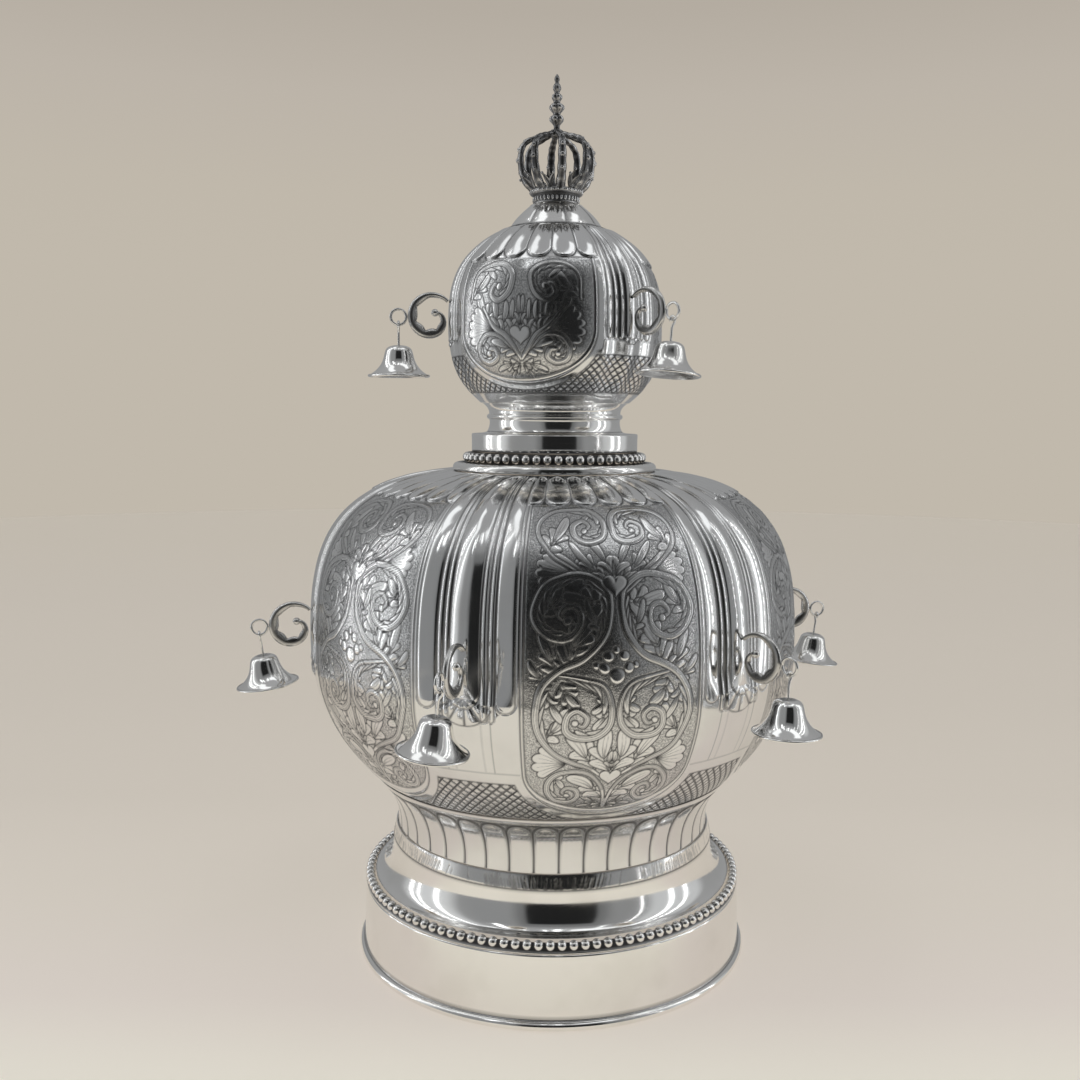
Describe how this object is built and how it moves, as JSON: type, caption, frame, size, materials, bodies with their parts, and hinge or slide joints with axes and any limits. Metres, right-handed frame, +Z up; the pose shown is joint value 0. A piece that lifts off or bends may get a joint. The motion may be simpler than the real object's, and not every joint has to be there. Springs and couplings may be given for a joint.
{
  "type": "torah crown",
  "caption": "Silver crown that fits over both upper rollers of a torah scroll, with two chased bulbs, an openwork coronet and hanging bells.",
  "frame": {"origin": "middle of the base band's underside, on the crown's axis", "axes": "+Z up the crown's axis to its finial; -Y toward the middle of a chased panel of the large bulb"},
  "size_m": [0.2872, 0.2594, 0.3988],
  "materials": {
    "plain_silver": "mirror-polished plain silver with fine wiping scratches",
    "bead_silver": "polished beads with dark oxide between them",
    "chased_silver": "polished chasing over a dark, matted ground",
    "dark_silver": "cast silver, oxidised dark with bright worn edges",
    "bracket_silver": "cast silver with oxide in the folds",
    "bell_silver": "polished spun silver, lightly worn",
    "wire_silver": "drawn silver wire, slightly dull"
  },
  "bodies": {
    "root": {"base_band": "plain_silver", "base_beading": "bead_silver", "cap": "plain_silver", "coronet": "dark_silver", "finial": "dark_silver", "foot": "plain_silver", "lower_1_bell": "bell_silver", "lower_1_bracket": "bracket_silver", "lower_1_hook": "wire_silver", "lower_1_loop": "wire_silver", "lower_2_bell": "bell_silver", "lower_2_bracket": "bracket_silver", "lower_2_hook": "wire_silver", "lower_2_loop": "wire_silver", "lower_3_bell": "bell_silver", "lower_3_bracket": "bracket_silver", "lower_3_hook": "wire_silver", "lower_3_loop": "wire_silver", "lower_4_bell": "bell_silver", "lower_4_bracket": "bracket_silver", "lower_4_hook": "wire_silver", "lower_4_loop": "wire_silver", "lower_5_bell": "bell_silver", "lower_5_bracket": "bracket_silver", "lower_5_hook": "wire_silver", "lower_5_loop": "wire_silver", "lower_6_bell": "bell_silver", "lower_6_bracket": "bracket_silver", "lower_6_hook": "wire_silver", "lower_6_loop": "wire_silver", "main_bulb": "chased_silver", "neck": "plain_silver", "neck_beading": "bead_silver", "neck_moulding": "plain_silver", "upper_1_bell": "bell_silver", "upper_1_bracket": "bracket_silver", "upper_1_hook": "wire_silver", "upper_1_loop": "wire_silver", "upper_2_bell": "bell_silver", "upper_2_bracket": "bracket_silver", "upper_2_hook": "wire_silver", "upper_2_loop": "wire_silver", "upper_3_bell": "bell_silver", "upper_3_bracket": "bracket_silver", "upper_3_hook": "wire_silver", "upper_3_loop": "wire_silver", "upper_bulb": "chased_silver", "waist": "chased_silver"}
  },
  "joints": []
}
